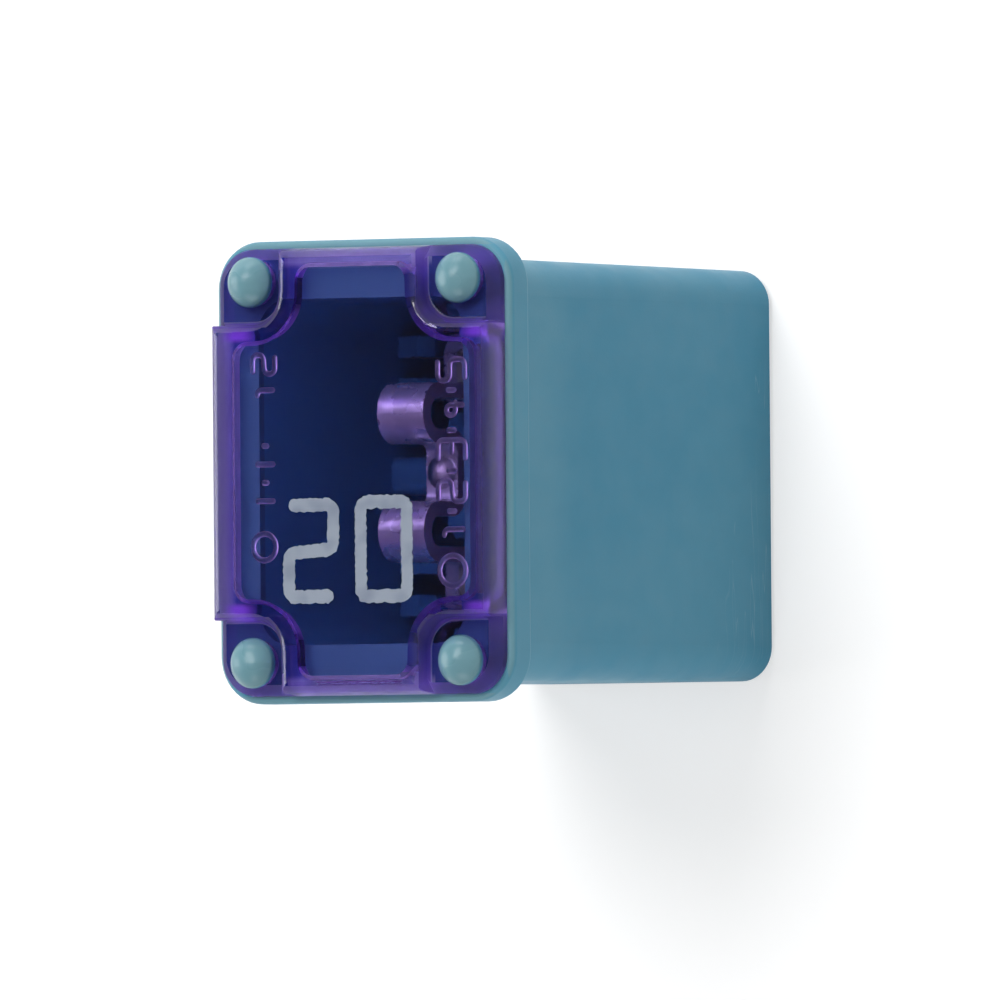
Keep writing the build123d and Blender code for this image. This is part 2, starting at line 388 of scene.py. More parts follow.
@dataclass(frozen=True)
class Specks:
    """Scattered specks of one kind."""

    closeness: float  # cells to the metre
    size: float  # of a speck, against its cell
    share: float  # of the cells that hold one

    def mask(self, paint: Material) -> Socket:
        """Give 1 on each speck."""
        values = {"Closeness": self.closeness, "Size": self.size, "Share": self.share}
        return paint.use(specks(), **values)["Mask"]


@dataclass(frozen=True)
class Band:
    """A band of painted light along both sides of the flange, in millimetres from the middle."""

    bare: float  # it grows from here
    palest: float  # to here
    end: float  # and stops here
    half: float  # half its length

    def mask(self, paint: Material, out: Socket, along: Socket) -> Socket:
        """Give the band's strength.

        Args:
            paint: The material.
            out: The place along the axis in which the band grows.
            along: The place along the band.

        Returns:
            The mask.
        """
        grown = paint.rise(paint.size(out), (self.bare, self.palest))
        return paint.times(grown, paint.within(out, self.end), paint.within(along, self.half))


@dataclass(frozen=True)
class HousingPlastic:
    """Light blue moulded polymer, satin, with slow flow marks and handling marks, and with painted
    light and sheen in places.

    Levels are heights above the blade face.
    """

    colour: Colour = (0.036, 0.207, 0.318, 1.0)
    paler: Colour = (0.075, 0.25, 0.348, 1.0)  # in the flow marks, and as painted sheen towards the flange
    chamber_painted_light: Colour = (0.075, 0.34, 0.52, 1.0)  # painted light: the shaded chamber painted brighter than the plastic
    painted_top_light: Colour = (0.13, 0.25, 0.285, 1.0)  # painted light and sheen on the heads and on faces that look up
    painted_foot_light: Colour = (0.62, 1.0, 0.66, 1.0)  # painted light in the bands under the cover's foot
    painted_corner_light: Colour = (0.75, 0.5, 0.95, 1.0)  # painted light in the patches beside its lobes
    speck: Colour = (0.35, 0.5, 0.56, 1.0)  # pale specks and scratches
    dirt: Colour = (0.02, 0.045, 0.06, 1.0)
    grain: Grain = Grain(14000.0, 0.5, 0.0022)
    bright_specks: Specks = Specks(1100.0, 0.045, 0.08)
    bright_share: float = 0.5
    dark_specks: Specks = Specks(520.0, 0.02, 0.12)
    rough: float = 0.4
    rough_spread: Limits = (-0.03, 0.06)
    head_polish: float = 0.16  # how much smoother the heads are
    specular: float = 0.22
    flow_stretch: Triple = (1.0, 1.0, 0.35)  # flow marks run upwards
    flow_closeness: float = 330.0
    flow_limits: Limits = (0.35, 0.7)
    flow_share: float = 0.5
    sheen_mm: Limits = (9.4, 11.8)  # painted sheen: the plastic is painted paler from the lower level to the upper one and above
    sheen_swell_mm: float = 4.0  # how far that limit wanders
    sheen_share: float = 0.7
    handled_mm: Limits = (0.5, 4.0)  # handling marks fade out between these levels
    face_mm: float = 0.02  # and there are none on the blade face, below this
    scratch_closeness: float = 1500.0
    scratch_amount: float = 0.6
    scratch_share: float = 0.2
    chamber_mm: Triple = (3.2, 4.7, 14.2)  # half sizes, and its top
    flange_mm: float = 14.0  # faces that look up get painted top light above this level
    up_limits: Limits = (0.2, 0.8)
    up_share: float = 0.75
    covered_mm: Limits = (4.29, 5.84)  # half sizes of what the cover shades
    covered_share: float = 0.5  # how much less painted top light falls there
    head_mm: Limits = (14.95, 15.05)  # the heads of the posts stand above these levels
    head_share: float = 0.9
    dent_closeness: float = 1500.0
    dent_mm: float = 0.07
    foot_mm: Limits = (14.4, 14.47)  # levels between which the bands of painted light under the foot lie
    foot_sides: Band = Band(3.7, 4.12, 4.27, 3.85)
    foot_ends: Band = Band(5.28, 5.55, 5.83, 2.2)
    corner_x_mm: Limits = (3.0, 4.25)  # the patches of painted light beside the cover's lobes
    corner_y_mm: Limits = (3.36, 3.8)
    corner_fade: float = 0.45  # share of a patch over which each of its edges fades

    def foot_light_mask(self, paint: Material) -> Socket:
        """Give 1 in the bands of painted light on the flange under the cover's foot.

        Args:
            paint: The material.

        Returns:
            The mask.
        """
        x, y, z = paint.axes(paint.place)
        both = paint.most(self.foot_sides.mask(paint, x, y), self.foot_ends.mask(paint, y, x))
        low, high = self.foot_mm
        return paint.times(both, paint.above(z, low * MM), paint.below(z, high * MM))

    def corner_light_mask(self, paint: Material) -> Socket:
        """Give 1 in the patches of painted light on the flange beside the feet of the cover's
        lobes.

        Args:
            paint: The material.

        Returns:
            The mask.
        """
        x, y, z = paint.axes(paint.place)
        mask = paint.above(z, self.foot_mm[0] * MM)
        for along, (near, far) in ((x, self.corner_x_mm), (y, self.corner_y_mm)):
            out = paint.size(along)
            fade = (far - near) * self.corner_fade
            starts = paint.rise(out, (near, near + fade))
            mask = paint.times(mask, starts, paint.rise(out, (far - fade, far), 1.0, 0.0))
        return mask

    def flow_and_sheen_share(self, paint: Material) -> Socket:
        """Give how pale the moulding is in its flow marks, and the painted sheen that grows towards
        the flange.

        Args:
            paint: The material.

        Returns:
            The share of the paler colour.
        """
        place = paint.stretch(paint.place, self.flow_stretch)
        flow = paint.noise(place, self.flow_closeness, detail=3.0)
        swell = paint.times(paint.less(flow, 0.5), self.sheen_swell_mm * MM)
        level = paint.math("ADD", paint.axes(paint.place)[2], swell)
        # painted sheen: paler colour towards the flange stands in for a reflection
        painted_sheen = paint.times(paint.rise(level, self.sheen_mm), self.sheen_share)
        return paint.most(paint.times(paint.span(flow, self.flow_limits), self.flow_share), painted_sheen)

    def scratched(self, paint: Material) -> Socket:
        """Give the strength of the handling scratches, which fade out upwards.

        Args:
            paint: The material.

        Returns:
            The mask.
        """
        up = paint.axes(paint.place)[2]
        handled = paint.rise(up, self.handled_mm, 1.0, 0.0)
        handled = paint.times(handled, paint.above(up, self.face_mm * MM))
        lines = paint.use(scuffs(), Closeness=self.scratch_closeness, Amount=self.scratch_amount)
        return paint.times(lines["Mask"], paint.times(handled, self.scratch_share))

    def top_light_share(self, paint: Material, head: Socket) -> Socket:
        """Give the painted top light and sheen on the heads and on the faces that look up.

        Args:
            paint: The material.
            head: 1 on the heads of the posts.

        Returns:
            The share of the painted top light.
        """
        x, y, up = paint.axes(paint.place)
        top = paint.span(paint.facing()[2], self.up_limits)
        top = paint.times(top, paint.above(up, self.flange_mm * MM))
        half_x, half_y = self.covered_mm
        covered = paint.times(paint.within(x, half_x), paint.within(y, half_y), self.covered_share)
        top = paint.times(top, paint.less(self.up_share, covered))
        return paint.most(paint.times(head, self.head_share), top)

    def make(self) -> bpy.types.Material:
        """Build the material.

        Returns:
            The material.
        """
        paint = Material("housing_polymer")
        x, y, up = paint.axes(paint.place)
        half_x, half_y, top = self.chamber_mm
        # painted light: the chamber is painted brighter to lift its shade
        lit_chamber_mask = paint.times(
            paint.within(x, half_x), paint.within(y, half_y), paint.below(up, top * MM)
        )
        head = paint.rise(up, self.head_mm)
        bright = paint.times(self.bright_specks.mask(paint), self.bright_share)
        colour = self.colour
        for share, over in (
            (self.flow_and_sheen_share(paint), self.paler),
            (lit_chamber_mask, self.chamber_painted_light),
            (self.scratched(paint), self.speck),
            (bright, self.speck),
            (self.dark_specks.mask(paint), self.dirt),
            (self.top_light_share(paint, head), self.painted_top_light),
            (self.foot_light_mask(paint), self.painted_foot_light),
            (self.corner_light_mask(paint), self.painted_corner_light),
        ):
            colour = paint.blend(share, colour, over)
        normal, tone = self.grain.lay(paint)
        dents = paint.times(paint.noise(paint.place, self.dent_closeness, detail=1.0), head)
        less, more = self.rough_spread
        dull = paint.span(tone, MOST_NOISE, self.rough + less, self.rough + more)
        paint.feed(
            paint.shader,
            Base_Color=colour,
            Roughness=paint.less(dull, paint.times(head, self.head_polish)),
            Normal=paint.bump(dents, self.dent_mm, normal),
            Specular_IOR_Level=self.specular,
        )
        return paint.material


@dataclass(frozen=True)
class VioletPolymer:
    """Clear violet polymer: polished faces, etched outer walls, dull drawn slopes and painted shade
    on slopes and pads.
    """

    name: str = "violet_polymer"
    tint: Triple = (0.46, 0.1, 0.88)
    density: float = 1270.0
    bend: float = 1.5  # index of refraction
    clouded: Colour = (0.98, 0.97, 1.0, 1.0)
    grain: Grain = Grain(8000.0, 0.6, 0.0006)
    shade_x: Colour = (0.25, 0.16, 0.55, 1.0)  # painted shade on slopes that face along X
    shade_y: Colour = (0.5, 0.34, 0.86, 1.0)  # lighter painted shade on those that face along Y
    wall_shade: Colour = (0.2, 0.28, 0.44, 1.0)  # painted shade on the inner side of the outer walls
    pad_shade: float = 0.25  # share of the painted shade on the level parts of the pads
    polished: float = 0.02
    polish_spread: float = 0.03
    drawn: float = 0.25  # roughness of walls, roundings and slopes that face along X
    drawn_end: float = 0.8  # and of those that face along Y
    etched_side: float = 0.4  # the outer side walls
    etched_core: float = 0.95  # the walls and bevels inside them
    etched_end: float = 0.85  # slopes near the ends
    pad_wall: float = 0.85  # slopes round the pads
    faces_end: Limits = (0.15, 0.6)  # a normal's Y part where a face turns to the end
    sloped: Limits = (0.8, 0.985)  # its Z part where slopes turn into level faces
    rounding: Limits = (0.95, 0.995)  # and where the roundings by the pads do
    side_mm: float = 3.5  # the etched slopes start this far out along X
    end_mm: float = 5.27  # and this far out along Y
    recess_x_mm: float = 2.08  # the pads lie farther out than both of these
    recess_y_mm: float = 3.78
    core_mm: float = 15.2  # the core moulded what lies below this
    core_side_mm: float = 3.85  # and farther in than this along X
    core_end_mm: float = 5.6  # and this along Y
    etching: bool = True

    def etch(self, paint: Material, rough: Socket, colour: Socket) -> tuple[Socket, Socket]:
        """Etch the outer walls, dull the drawn slopes and paint shade on the slopes that the core
        moulded and on the pads.

        Args:
            paint: The material.
            rough: The polished faces' roughness.
            colour: Their colour.

        Returns:
            The roughness and the colour.
        """
        x, y, z = paint.axes(paint.place)
        _, endways, level = paint.facing()
        endways = paint.span(paint.size(endways), self.faces_end)
        level = paint.size(level)
        slope = paint.span(level, self.sloped, 1.0, 0.0)
        side, end = paint.beyond(x, self.side_mm), paint.beyond(y, self.end_mm)
        pad = paint.times(paint.beyond(x, self.recess_x_mm), paint.beyond(y, self.recess_y_mm))
        wall = paint.times(paint.most(side, end), paint.less(1.0, pad))
        past_core = paint.beyond(x, self.core_side_mm)
        across = paint.mix(paint.less(1.0, past_core), self.etched_side, self.etched_core)
        etched = paint.most(paint.times(side, across), paint.times(end, self.etched_end))
        dull = paint.most(
            paint.times(wall, etched), paint.mix(endways, self.drawn, self.drawn_end)
        )
        rounded = paint.times(paint.span(level, self.rounding, 1.0, 0.0), pad, self.pad_wall)
        rough = paint.most(rough, paint.times(slope, dull), rounded)
        outside = paint.most(past_core, paint.beyond(y, self.core_end_mm))
        cored = paint.times(paint.below(z, self.core_mm * MM), paint.less(1.0, outside))
        # painted shade: the base colour darkens the moulded slopes and the pads
        painted_shade = paint.times(slope, paint.most(cored, pad))
        painted_shade = paint.most(painted_shade, paint.times(pad, self.pad_shade))
        tone = paint.blend(endways, self.shade_x, self.shade_y)
        return rough, paint.blend(painted_shade, colour, paint.blend(wall, tone, self.wall_shade))

    def make(self) -> bpy.types.Material:
        """Build the material.

        Returns:
            The material.
        """
        paint = Material(self.name)
        normal, tone = self.grain.lay(paint)
        rough = paint.span(tone, MOST_NOISE, self.polished, self.polished + self.polish_spread)
        colour = paint.blend(tone, WHITE, self.clouded)
        if self.etching:
            rough, colour = self.etch(paint, rough, colour)
        paint.feed(
            paint.shader,
            Base_Color=colour,
            Roughness=rough,
            IOR=self.bend,
            Transmission_Weight=1.0,
            Normal=normal,
        )
        chamber_painted_light = paint.add("ShaderNodeVolumeAbsorption")
        paint.feed(chamber_painted_light, Color=(*self.tint, 1.0), Density=self.density)
        paint.put(paint.output.inputs["Volume"], chamber_painted_light.outputs[0])
        return paint.material


@dataclass(frozen=True)
class StripMetal:
    """Rolled strip: plated faces, and sheared edges of the bare metal above a level."""

    name: str
    face: Colour
    stain: Colour
    edge: Colour
    rough: float
    edges_above_mm: float
    metallic: float = 1.0  # less where a dull plating scatters some light
    edge_metallic: float = 0.2
    edge_rough: float = 0.6
    edge_facing: float = 0.92  # the sheared edges face along X more than this
    stained: Limits = (0.4, 0.75)
    rough_spread: Limits = (-0.05, 0.08)
    line_mm: float = 0.003
    dent_mm: float = 0.012

    def make(self) -> bpy.types.Material:
        """Build the material.

        Returns:
            The material.
        """
        paint = Material(self.name)
        lines = paint.use(rolling_lines())
        sheared = paint.above(paint.size(paint.facing()[0]), self.edge_facing)
        high = paint.above(paint.axes(paint.place)[2], self.edges_above_mm * MM)
        sheared = paint.times(sheared, high)
        colour = paint.blend(paint.span(lines["Tone"], self.stained), self.face, self.stain)
        fine = paint.bump(lines["Height"], self.line_mm)
        less, more = self.rough_spread
        dull = paint.span(lines["Tone"], MOST_NOISE, self.rough + less, self.rough + more)
        paint.feed(
            paint.shader,
            Base_Color=paint.blend(sheared, colour, self.edge),
            Metallic=paint.mix(sheared, self.metallic, self.edge_metallic),
            Roughness=paint.most(dull, paint.times(sheared, self.edge_rough)),
            Normal=paint.bump(lines["Tone"], self.dent_mm, fine),
        )
        return paint.material


@dataclass(frozen=True)
class Coat:
    """An even skin of one substance, in two tones."""

    name: str
    colour: Colour
    other: Colour
    other_limits: Limits  # the skin's tone between which the other colour comes in
    rough: Limits
    grain: Grain
    metallic: float = 0.0

    def make(self) -> bpy.types.Material:
        """Build the material.

        Returns:
            The material.
        """
        paint = Material(self.name)
        normal, tone = self.grain.lay(paint)
        paint.feed(
            paint.shader,
            Base_Color=paint.blend(paint.span(tone, self.other_limits), self.colour, self.other),
            Metallic=self.metallic,
            Roughness=paint.span(tone, MOST_NOISE, *self.rough),
            Normal=normal,
        )
        return paint.material


@dataclass(frozen=True)
class Stroke:
    """One pen stroke in a cell one unit wide and one unit high."""

    points: tuple[tuple[float, float], ...]
    closed: bool = False


def ring_stroke(corners: int) -> Stroke:
    """Give a round closed stroke that fills its cell.

    Args:
        corners: How many points it has.

    Returns:
        The stroke.
    """
    turns = (number * math.tau / corners for number in range(corners))
    points = tuple((0.5 + 0.5 * math.cos(turn), 0.5 + 0.5 * math.sin(turn)) for turn in turns)
    return Stroke(points, closed=True)


class Figure(Enum):
    """Plain numerals and marks, drawn as single strokes."""

    ZERO = (Stroke(((0, 0), (1, 0), (1, 1), (0, 1)), closed=True),)
    ONE = (Stroke(((0.2, 0.75), (0.6, 1), (0.6, 0))),)
    TWO = (Stroke(((0, 1), (1, 1), (1, 0.52), (0, 0.47), (0, 0), (1, 0))),)
    THREE = (Stroke(((0, 1), (1, 1), (1, 0), (0, 0))), Stroke(((0.3, 0.5), (1, 0.5))))
    FOUR = (Stroke(((0.75, 0), (0.75, 1), (0, 0.35), (1, 0.35))),)
    FIVE = (Stroke(((1, 1), (0, 1), (0, 0.55), (1, 0.55), (1, 0), (0, 0))),)
    BAR = (Stroke(((0.5, 0), (0.5, 1))),)
    DASH = (Stroke(((0.5, 0.3), (0.5, 0.7))),)
    RING = (ring_stroke(16),)


class Turn(Enum):
    """Which way a row of figures reads."""

    ALONG_X = 0.0
    ALONG_Y = math.pi / 2


class Section(Enum):
    """The cross-section of a stroke."""

    FILM = "film"
    RELIEF = "relief"


@dataclass(frozen=True)
class Row:
    """A row of figures on the window, in millimetres."""

    figures: tuple[Figure, ...]
    start: tuple[float, float]  # foot of the first figure, on its left
    wide: float  # of one figure, along the middle of its strokes
    high: float
    step: float  # from one figure's foot to the next
    turn: Turn = Turn.ALONG_Y

    def strokes(self) -> list[tuple[list[Vector], bool]]:
        """Place every stroke of the row.

        Returns:
            For each stroke its points in metres, and whether it is closed.
        """
        turned = Matrix.Rotation(self.turn.value, 3, "Z")
        foot = Vector((*self.start, 0.0))
        placed = []
        for number, figure in enumerate(self.figures):
            for stroke in figure.value:
                points = []
                for x, y in stroke.points:
                    local = Vector((number * self.step + x * self.wide, y * self.high, 0.0))
                    points.append((foot + turned @ local) * MM)
                placed.append((points, stroke.closed))
        return placed


class StrokeTree(Tree):
    """Geometry nodes that turn pen strokes into a thin solid with round ends and an uneven edge."""

    INPUTS = (
        ("Width", "NodeSocketFloat"),
        ("Thickness", "NodeSocketFloat"),
        ("Corner", "NodeSocketFloat"),
        ("Unevenness", "NodeSocketFloat"),
        ("Relief", "NodeSocketBool"),
        ("Seed", "NodeSocketFloat"),
        ("Finish", "NodeSocketMaterial"),
    )
    STEP = 0.03 * MM  # along a stroke
    CORNER_POINTS = 6  # on a rounded corner
    SIDES = 12  # round a relief's section
    NARROWEST = 0.12  # share of the width left at a stroke's tip
    WAVES = 9000.0  # of the outline, to the metre

    def __init__(self) -> None:
        """Build the tree."""
        group = bpy.data.node_groups.new("strokes", "GeometryNodeTree")
        sockets = group.interface
        sockets.new_socket("Geometry", in_out="INPUT", socket_type="NodeSocketGeometry")
        sockets.new_socket("Geometry", in_out="OUTPUT", socket_type="NodeSocketGeometry")
        self.keys = {}
        for label, kind in self.INPUTS:
            socket = sockets.new_socket(label, in_out="INPUT", socket_type=kind)
            self.keys[label] = socket.identifier
        super().__init__(group)
        given = self.add("NodeGroupInput").outputs
        rounded = self.feed(
            self.add("GeometryNodeFilletCurve", mode="POLY"),
            Curve=given["Geometry"],
            Radius=given["Corner"],
            Count=self.CORNER_POINTS,
            Limit_Radius=True,
        )
        even = self.add("GeometryNodeResampleCurve", mode="LENGTH")
        self.feed(even, Curve=rounded.outputs[0], Length=self.STEP)
        solid = self.feed(
            self.add("GeometryNodeCurveToMesh"),
            Curve=even.outputs[0],
            Profile_Curve=self.section(given),
            Scale=self.end_rounding(given["Width"]),
            Fill_Caps=True,
        )
        shape = solid.outputs[0]
        for kind, values in (
            ("GeometryNodeSetPosition", {"Offset": self.unevenness(given)}),
            ("GeometryNodeSetShadeSmooth", {"Shade_Smooth": given["Relief"]}),
            ("GeometryNodeRealizeInstances", {}),
            ("GeometryNodeSetMaterial", {"Material": given["Finish"]}),
        ):
            shape = self.feed(self.add(kind), Geometry=shape, **values).outputs[0]
        self.feed(self.add("NodeGroupOutput"), Geometry=shape)

    def end_rounding(self, width: Socket) -> Socket:
        """Narrow each open stroke to a half circle at its ends.

        Args:
            width: The stroke's width.

        Returns:
            The share of the width at each point.
        """
        along = self.add("GeometryNodeSplineParameter").outputs["Length"]
        whole = self.add("GeometryNodeSplineLength").outputs["Length"]
        left = self.math("MINIMUM", along, self.less(whole, along))
        reach = self.math("MINIMUM", self.math("DIVIDE", left, self.times(width, 0.5)), 1.0)
        inner = self.less(1.0, reach)
        circle = self.math("SQRT", self.less(1.0, self.times(inner, inner)))
        cyclic = self.add("GeometryNodeInputSplineCyclic").outputs[0]
        return self.most(circle, self.NARROWEST, cyclic)

    def section(self, given: bpy.types.NodeOutputs) -> Socket:
        """Make the stroke's section: a flat film or a low rounded relief.

        Args:
            given: The tree's inputs.

        Returns:
            The profile curve.
        """
        film = self.add("GeometryNodeCurvePrimitiveQuadrilateral")
        self.feed(film, Width=given["Width"], Height=given["Thickness"])
        circle = self.add("GeometryNodeCurvePrimitiveCircle")
        self.feed(circle, Resolution=self.SIDES, Radius=0.5)
        shape = self.add("ShaderNodeCombineXYZ")
        self.feed(shape, X=given["Width"], Y=given["Thickness"], Z=1.0)
        relief = self.add("GeometryNodeTransform")
        self.feed(relief, Geometry=circle.outputs[0], Scale=shape.outputs[0])
        choice = self.add("GeometryNodeSwitch", input_type="GEOMETRY")
        choices = {"False": film.outputs[0], "True": relief.outputs[0]}
        self.feed(choice, Switch=given["Relief"], **choices)
        return choice.outputs[0]

    def unevenness(self, given: bpy.types.NodeOutputs) -> Socket:
        """Push the outline about in the plane of the window.

        Args:
            given: The tree's inputs.

        Returns:
            The offset of each vertex.
        """
        wave = self.add("ShaderNodeTexNoise", noise_dimensions="4D")
        self.feed(wave, W=given["Seed"], Scale=self.WAVES, Detail=3.0, Roughness=0.6)
        offset = wave.outputs["Color"]
        for operation, other in (("SUBTRACT", (0.5, 0.5, 0.5)), ("MULTIPLY", (1.0, 1.0, 0.0))):
            step = self.add("ShaderNodeVectorMath", operation=operation)
            self.put(step.inputs[0], offset)
            self.put(step.inputs[1], other)
            offset = step.outputs[0]
        scaled = self.add("ShaderNodeVectorMath", operation="SCALE")
        self.put(scaled.inputs[0], offset)
        self.put(scaled.inputs["Scale"], given["Unevenness"])
        return scaled.outputs[0]


@dataclass(frozen=True)
class Lettering:
    """A set of rows drawn with one pen, in millimetres."""

    name: str
    rows: tuple[Row, ...]
    width: float
    thickness: float
    corner: float
    unevenness: float
    section: Section
    seed: float

    def build(
        self, tree: StrokeTree, level: float, finish: bpy.types.Material
    ) -> bpy.types.Object:
        """Make the piece.

        Args:
            tree: The stroke tree.
            level: Height of the middle of the strokes, in metres.
            finish: The material.

        Returns:
            A plain mesh object.
        """
        path = bpy.data.curves.new(self.name + "_path", "CURVE")
        path.dimensions = "3D"
        for row in self.rows:
            for points, closed in row.strokes():
                spline = path.splines.new("POLY")
                spline.points.add(len(points) - 1)
                spline.use_cyclic_u = closed
                for point, place in zip(spline.points, points):
                    point.co = (place.x, place.y, level, 1.0)
        guide = link(path.name, path)
        modifier = guide.modifiers.new("strokes", "NODES")
        modifier.node_group = tree.tree
        values = {
            "Width": self.width * MM,
            "Thickness": self.thickness * MM,
            "Corner": self.corner * MM,
            "Unevenness": self.unevenness * MM,
            "Relief": self.section is Section.RELIEF,
            "Seed": self.seed,
            "Finish": finish,
        }
        for label, value in values.items():
            modifier[tree.keys[label]] = value
        drawn = guide.evaluated_get(bpy.context.evaluated_depsgraph_get())
        mesh = bpy.data.meshes.new_from_object(drawn)
        mesh.name = self.name
        bpy.data.objects.remove(guide)
        return link(self.name, mesh)


def link(name: str, data: bpy.types.ID) -> bpy.types.Object:
    """Put a mesh, curve, lamp or camera in the scene.

    Args:
        name: The object's name.
        data: What it shows.

    Returns:
        The object, at the origin.
    """
    made = bpy.data.objects.new(name, data)
    bpy.context.scene.collection.objects.link(made)
    return made


def merged(source: bpy.types.Mesh, name: str) -> bpy.types.Mesh:
    """Copy a mesh of loose triangles and join them, with their shading kept.

    Args:
        source: The mesh to copy.
        name: The copy's name.

    Returns:
        The closed copy.
    """
    same_place = 1e-7  # vertices nearer than this are one
    mesh = source.copy()
    mesh.name = name
    shading = [tuple(corner.vector) for corner in mesh.corner_normals]
    work = bmesh.new()
    work.from_mesh(mesh)
    bmesh.ops.remove_doubles(work, verts=work.verts, dist=same_place)
    work.to_mesh(mesh)
    work.free()
    if len(mesh.loops) == len(shading):
        mesh.normals_split_custom_set(shading)
    LOG.info("%s: %d vertices of %d kept", name, len(mesh.vertices), len(source.vertices))
    return mesh


def dress(node: str, finish: bpy.types.Material) -> None:
    """Give a node of the frame its finish."""
    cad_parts[node].data.materials[0] = finish
    LOG.info("%s dressed in %s", node, finish.name)


def carry(piece: bpy.types.Object) -> None:
    """Make a piece part of the fuse.

    Args:
        piece: The piece, in place.
    """
    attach(piece, "root")
    LOG.info("%s: %d faces", piece.name, len(piece.data.polygons))


@dataclass
class Housing:
    """The moulded housing with its staked posts, as the frame gives it."""

    finish: HousingPlastic = HousingPlastic()

    def build(self) -> None:
        """Dress the housing."""
        dress("housing", self.finish.make())


@dataclass
class Terminals:
    """The folded element, its tin pellet and the two spring clips."""

    strip: StripMetal = StripMetal(
        name="tinned_strip",
        face=(0.84, 0.87, 0.94, 1.0),
        stain=(0.66, 0.68, 0.74, 1.0),
        edge=(0.5, 0.37, 0.42, 1.0),
        rough=0.27,
        edges_above_mm=7.3,
        metallic=0.72,
    )
    spring: StripMetal = StripMetal(
        name="spring_steel",
        face=(0.58, 0.57, 0.55, 1.0),
        stain=(0.45, 0.44, 0.43, 1.0),
        edge=(0.5, 0.49, 0.47, 1.0),
        rough=0.3,
        edges_above_mm=100.0,  # above the fuse, so its edges look like its faces
    )
    pellet: Coat = Coat(
        name="cast_tin",  # dull, with a wrinkled skin
        colour=(0.66, 0.66, 0.67, 1.0),
        other=(0.42, 0.42, 0.45, 1.0),
        other_limits=(0.35, 0.7),
        rough=(0.35, 0.55),
        grain=Grain(16000.0, 1.2, 0.02),
        metallic=1.0,
    )

    def build(self) -> None:
        """Dress the metal pieces."""
        dress("fuse_element", self.strip.make())
        dress("tin_pellet", self.pellet.make())
        steel = self.spring.make()
        for side in ("left", "right"):
            dress(f"{side}_spring_clip", steel)


@dataclass
class Cover:
    """The violet cover with its printed rating and the numerals moulded under the window."""

    seat_gap_mm: float = 0.015  # air between the cover's foot and the flange
    window_mm: float = 0.4  # thickness of the window
    print_gap_mm: float = 0.001  # air between the window and the print
    relief_gap_mm: float = 0.002  # and between the window and the numerals
    finish: VioletPolymer = VioletPolymer()
    moulded: VioletPolymer = VioletPolymer(name="violet_relief", polished=0.35, etching=False)
    ink: Coat = Coat(
        name="pad_ink",  # pale grey, a little thin in places
        colour=(0.2, 0.235, 0.295, 1.0),
        other=(0.15, 0.18, 0.24, 1.0),
        other_limits=(0.45, 0.75),
        rough=(0.5, 0.65),
        grain=Grain(20000.0, 1.0, 0.004),
    )
    rating: Lettering = Lettering(
        name="rating_print",
        rows=(
            Row((Figure.TWO,), (-1.8, -3.27), 1.36, 2.39, 0.0, Turn.ALONG_X),
            Row((Figure.ZERO,), (0.4, -3.28), 1.4, 2.45, 0.0, Turn.ALONG_X),
        ),
        width=0.35,
        thickness=0.01,
        corner=0.2,
        unevenness=0.16,
        section=Section.FILM,
        seed=4.0,
    )
    marks: Lettering = Lettering(
        name="moulded_numerals",
        rows=(
            Row((Figure.ONE, Figure.TWO), (-2.36, 1.85), 0.5, 0.68, 0.72),
            Row((Figure.BAR, Figure.DASH) * 2, (-2.36, -0.9), 0.3, 0.62, 0.48),
            Row((Figure.RING,), (-2.36, -2.3), 0.7, 0.7, 0.0),
            Row(
                (Figure.ONE, Figure.TWO, Figure.THREE, Figure.FOUR, Figure.FIVE),
                (3.42, -1.9), 0.55, 0.82, 1.05,
            ),
            Row((Figure.DASH,) * 4, (3.42, -1.3), 0.4, 0.82, 1.05),
            Row((Figure.RING,), (3.42, -3.05), 0.8, 0.8, 0.0),
        ),
        width=0.15,
        thickness=0.07,
        corner=0.15,
        unevenness=0.01,
        section=Section.RELIEF,
        seed=7.0,
    )

    def build(self) -> None:
        """Make the cover, the print and the moulded numerals."""
        foot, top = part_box("cover")
        mesh = merged(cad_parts["cover"].data, "violet_cover")
        for vertex in mesh.vertices:
            vertex.co.z = max(vertex.co.z, foot.z + self.seat_gap_mm * MM)
        mesh.materials[0] = self.finish.make()
        cover = link("violet_cover", mesh)
        carry(cover)
        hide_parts("cover")
        tree = StrokeTree()
        over = (self.rating.thickness / 2 + self.print_gap_mm) * MM
        carry(self.rating.build(tree, top.z + over, self.ink.make()))
        under = (self.window_mm + self.marks.thickness / 2 + self.relief_gap_mm) * MM
        carry(self.marks.build(tree, top.z - under, self.moulded.make()))


@dataclass(frozen=True)
class Lamp:
    """A soft round lamp aimed at the fuse.

    level is the share of a white surface's brightness that it gives a surface facing it.
    """

    name: str
    towards: Triple
    level: float
    size: float = 0.3
    distance: float = 0.5

    def place(self, aim: Vector) -> None:
        """Put the lamp in the scene.

        Args:
            aim: The point that the lamp faces.
        """
        data = bpy.data.lights.new(self.name, "AREA")
        data.shape = "DISK"
        data.size = self.size
        data.energy = self.level * (math.pi * self.distance) ** 2
        lamp = link(self.name, data)
        out = Vector(self.towards).normalized()
        lamp.location = aim + out * self.distance
        lamp.rotation_euler = out.to_track_quat("Z", "Y").to_euler()


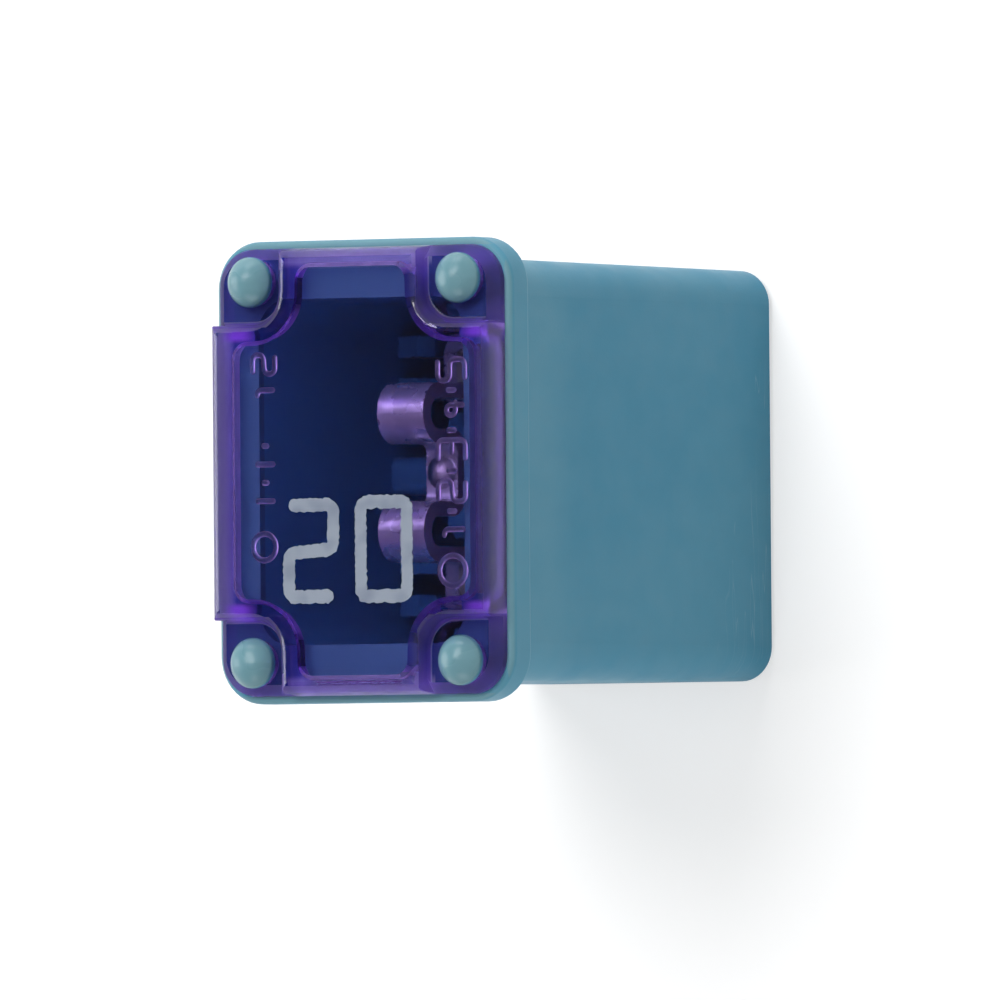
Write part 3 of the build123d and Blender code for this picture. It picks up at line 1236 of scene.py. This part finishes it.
@dataclass(frozen=True)
class Studio:
    """Camera, lamps, surroundings and floor."""

    tilt: float = 31.0  # degrees off the plug-in axis, towards +X
    dip: float = -1.09  # degrees about the camera's own level axis
    roll: float = 0.46  # and about the way that it looks
    distance: float = 0.7
    lens_mm: float = 958.56
    sensor_mm: float = 36.0
    clipping: Limits = (0.01, 5.0)
    target: Triple = (0.0, 0.0, 0.008)
    aside: float = 0.000203  # how far the camera stands to the right of the target
    below: float = 0.000678  # and below it
    floor_half: float = 3.0
    paper: Colour = (0.8, 0.8, 0.8, 1.0)
    seen_paper: Colour = (0.5, 0.5, 0.5, 1.0)  # what the camera sees of the floor's own colour
    floor_glow: float = 0.55  # and what it adds there
    mirror_glow: float = 0.2  # what it adds in reflections and through the cover
    horizon: Limits = (0.08, 0.5)  # heights between which the surroundings darken
    overhead: float = 0.06  # their brightness straight up
    lamps: tuple[Lamp, ...] = (
        Lamp("key_lamp", (-0.13, 0.44, 0.895), 0.8),
        Lamp("front_lamp", (0.5, 0.05, 0.86), 0.35, 0.9),
        Lamp("high_lamp", (-0.2, 0.93, 0.3), 0.35),
        Lamp("low_lamp", (0.0, -0.9, 0.4), 0.3),
        Lamp("back_lamp", (-0.93, 0.0, 0.36), 0.35),
    )

    def camera(self) -> None:
        """Make the camera and set it as the scene's."""
        turn, dip, roll = map(math.radians, (self.tilt, self.dip, self.roll))
        right = Vector((math.cos(turn), 0, -math.sin(turn)))
        back = Vector((math.sin(turn), 0, math.cos(turn)))
        up = Vector((0, 1, 0))
        cos, sin = math.cos(dip), math.sin(dip)
        up, back = up * cos - back * sin, up * sin + back * cos
        cos, sin = math.cos(roll), math.sin(roll)
        right, up = right * cos - up * sin, right * sin + up * cos
        data = bpy.data.cameras.new("camera")
        data.lens = self.lens_mm
        data.sensor_width = self.sensor_mm
        data.clip_start, data.clip_end = self.clipping
        camera = link("camera", data)
        place = Vector(self.target) + right * self.aside - up * self.below + back * self.distance
        axes = Matrix((right, up, back)).transposed().to_4x4()
        camera.matrix_world = Matrix.Translation(place) @ axes
        bpy.context.scene.camera = camera

    def surroundings(self) -> None:
        """Make the surroundings: white at the horizon, dim overhead."""
        world = bpy.data.worlds.new("studio")
        bpy.context.scene.world = world
        world.use_nodes = True
        nodes = Tree(world.node_tree)
        height = nodes.axes(nodes.add("ShaderNodeTexCoord").outputs["Generated"])[2]
        light = nodes.span(height, self.horizon, 1.0, self.overhead)
        nodes.feed(world.node_tree.nodes["Background"], Color=light, Strength=1.0)

    def floor(self) -> None:
        """Lay the floor, which shows white and keeps the shadow."""
        half = self.floor_half
        corners = [(-half, -half, 0), (half, -half, 0), (half, half, 0), (-half, half, 0)]
        mesh = bpy.data.meshes.new("floor")
        mesh.from_pydata(corners, [], [(0, 1, 2, 3)])
        floor = link("floor", mesh)
        paint = Material("floor_paper")
        path = paint.add("ShaderNodeLightPath").outputs
        seen = path["Is Camera Ray"]
        mirrored = paint.most(path["Is Glossy Ray"], path["Is Transmission Ray"])
        paint.feed(
            paint.shader,
            Base_Color=paint.blend(seen, self.paper, self.seen_paper),
            Roughness=0.9,
            Specular_IOR_Level=0.0,
            Emission_Color=WHITE,
            Emission_Strength=paint.most(
                paint.times(seen, self.floor_glow), paint.times(mirrored, self.mirror_glow)
            ),
        )
        mesh.materials.append(paint.material)

    def build(self) -> None:
        """Set up everything round the fuse."""
        self.camera()
        self.surroundings()
        self.floor()
        for lamp in self.lamps:
            lamp.place(Vector(self.target))
        bpy.context.scene.view_settings.view_transform = "Standard"


def main() -> None:
    """Build the scene piece by piece."""
    logging.basicConfig(level=logging.INFO, format="%(message)s")
    for assembly in (Studio(), Housing(), Terminals(), Cover()):
        assembly.build()


if __name__ == "__main__":
    main()
